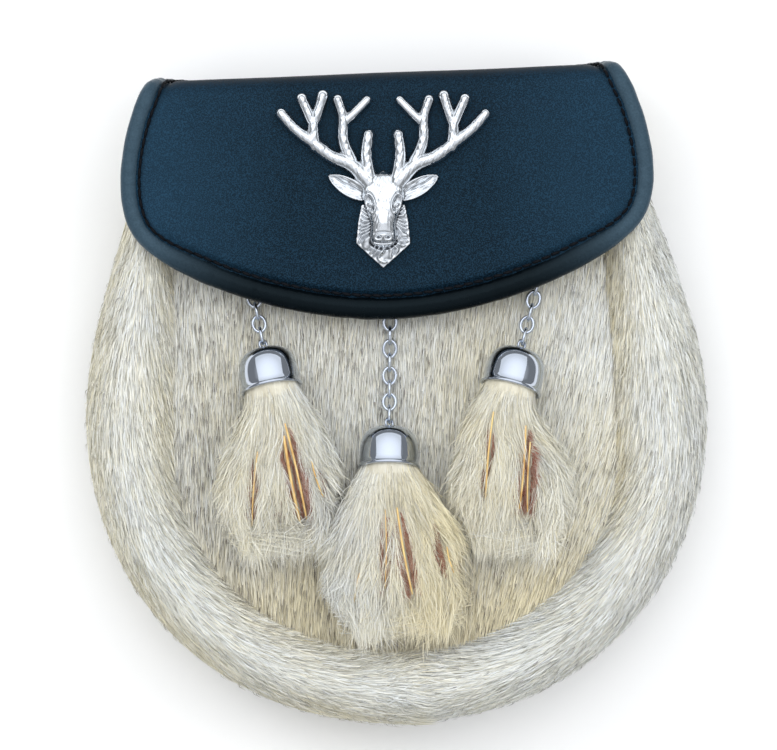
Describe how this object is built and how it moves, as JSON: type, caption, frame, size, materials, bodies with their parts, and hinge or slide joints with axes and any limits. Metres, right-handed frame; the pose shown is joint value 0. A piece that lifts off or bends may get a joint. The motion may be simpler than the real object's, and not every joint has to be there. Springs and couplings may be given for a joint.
{
  "type": "sporran pouch",
  "caption": "Highland dress pouch worn at the front: fur body and gusset, leather flap with a rolled edge and stag's head badge, and fur tassels under metal bells on fine chains.",
  "frame": {"origin": "middle of the footprint, on the surface that the pouch lies on, back down", "axes": "+Z out of the front face, +Y towards the fold of the flap, +X to the right as the front is looked at"},
  "size_m": [0.189, 0.199, 0.0618],
  "materials": {
    "leather": "fine pebbled grain, satin, blue-black",
    "edge_leather": "smooth rolled leather, satin, blue-black",
    "fur": "short straight off-white hair with grey-brown flecks on hide",
    "tassel_fur": "cream hair on narrow hide strips with tan cut edges",
    "chrome": "mirror polished",
    "chain_steel": "bright plated wire",
    "badge_metal": "bright cast metal with dark recesses"
  },
  "bodies": {
    "root": {"front_panel": "fur", "back_panel": "leather", "gusset_left": "fur", "gusset_right": "fur", "flap": "leather", "flap_rolled_edge": "edge_leather", "snap_stud": "chrome", "strap_loop_left": "leather", "strap_loop_right": "leather", "tassel_cap_left": "chrome", "tassel_left": "tassel_fur", "chain_left_link_1": "chain_steel", "chain_left_link_2": "chain_steel", "chain_left_link_3": "chain_steel", "chain_left_link_4": "chain_steel", "chain_left_link_5": "chain_steel", "chain_staple_left": "chain_steel", "tassel_cap_middle": "chrome", "tassel_middle": "tassel_fur", "chain_middle_link_1": "chain_steel", "chain_middle_link_2": "chain_steel", "chain_middle_link_3": "chain_steel", "chain_middle_link_4": "chain_steel", "chain_middle_link_5": "chain_steel", "chain_middle_link_6": "chain_steel", "chain_middle_link_7": "chain_steel", "chain_middle_link_8": "chain_steel", "chain_middle_link_9": "chain_steel", "chain_staple_middle": "chain_steel", "tassel_cap_right": "chrome", "tassel_right": "tassel_fur", "chain_right_link_1": "chain_steel", "chain_right_link_2": "chain_steel", "chain_right_link_3": "chain_steel", "chain_right_link_4": "chain_steel", "chain_right_link_5": "chain_steel", "chain_right_link_6": "chain_steel", "chain_right_link_7": "chain_steel", "chain_staple_right": "chain_steel", "stag_badge": "badge_metal"}
  },
  "joints": []
}
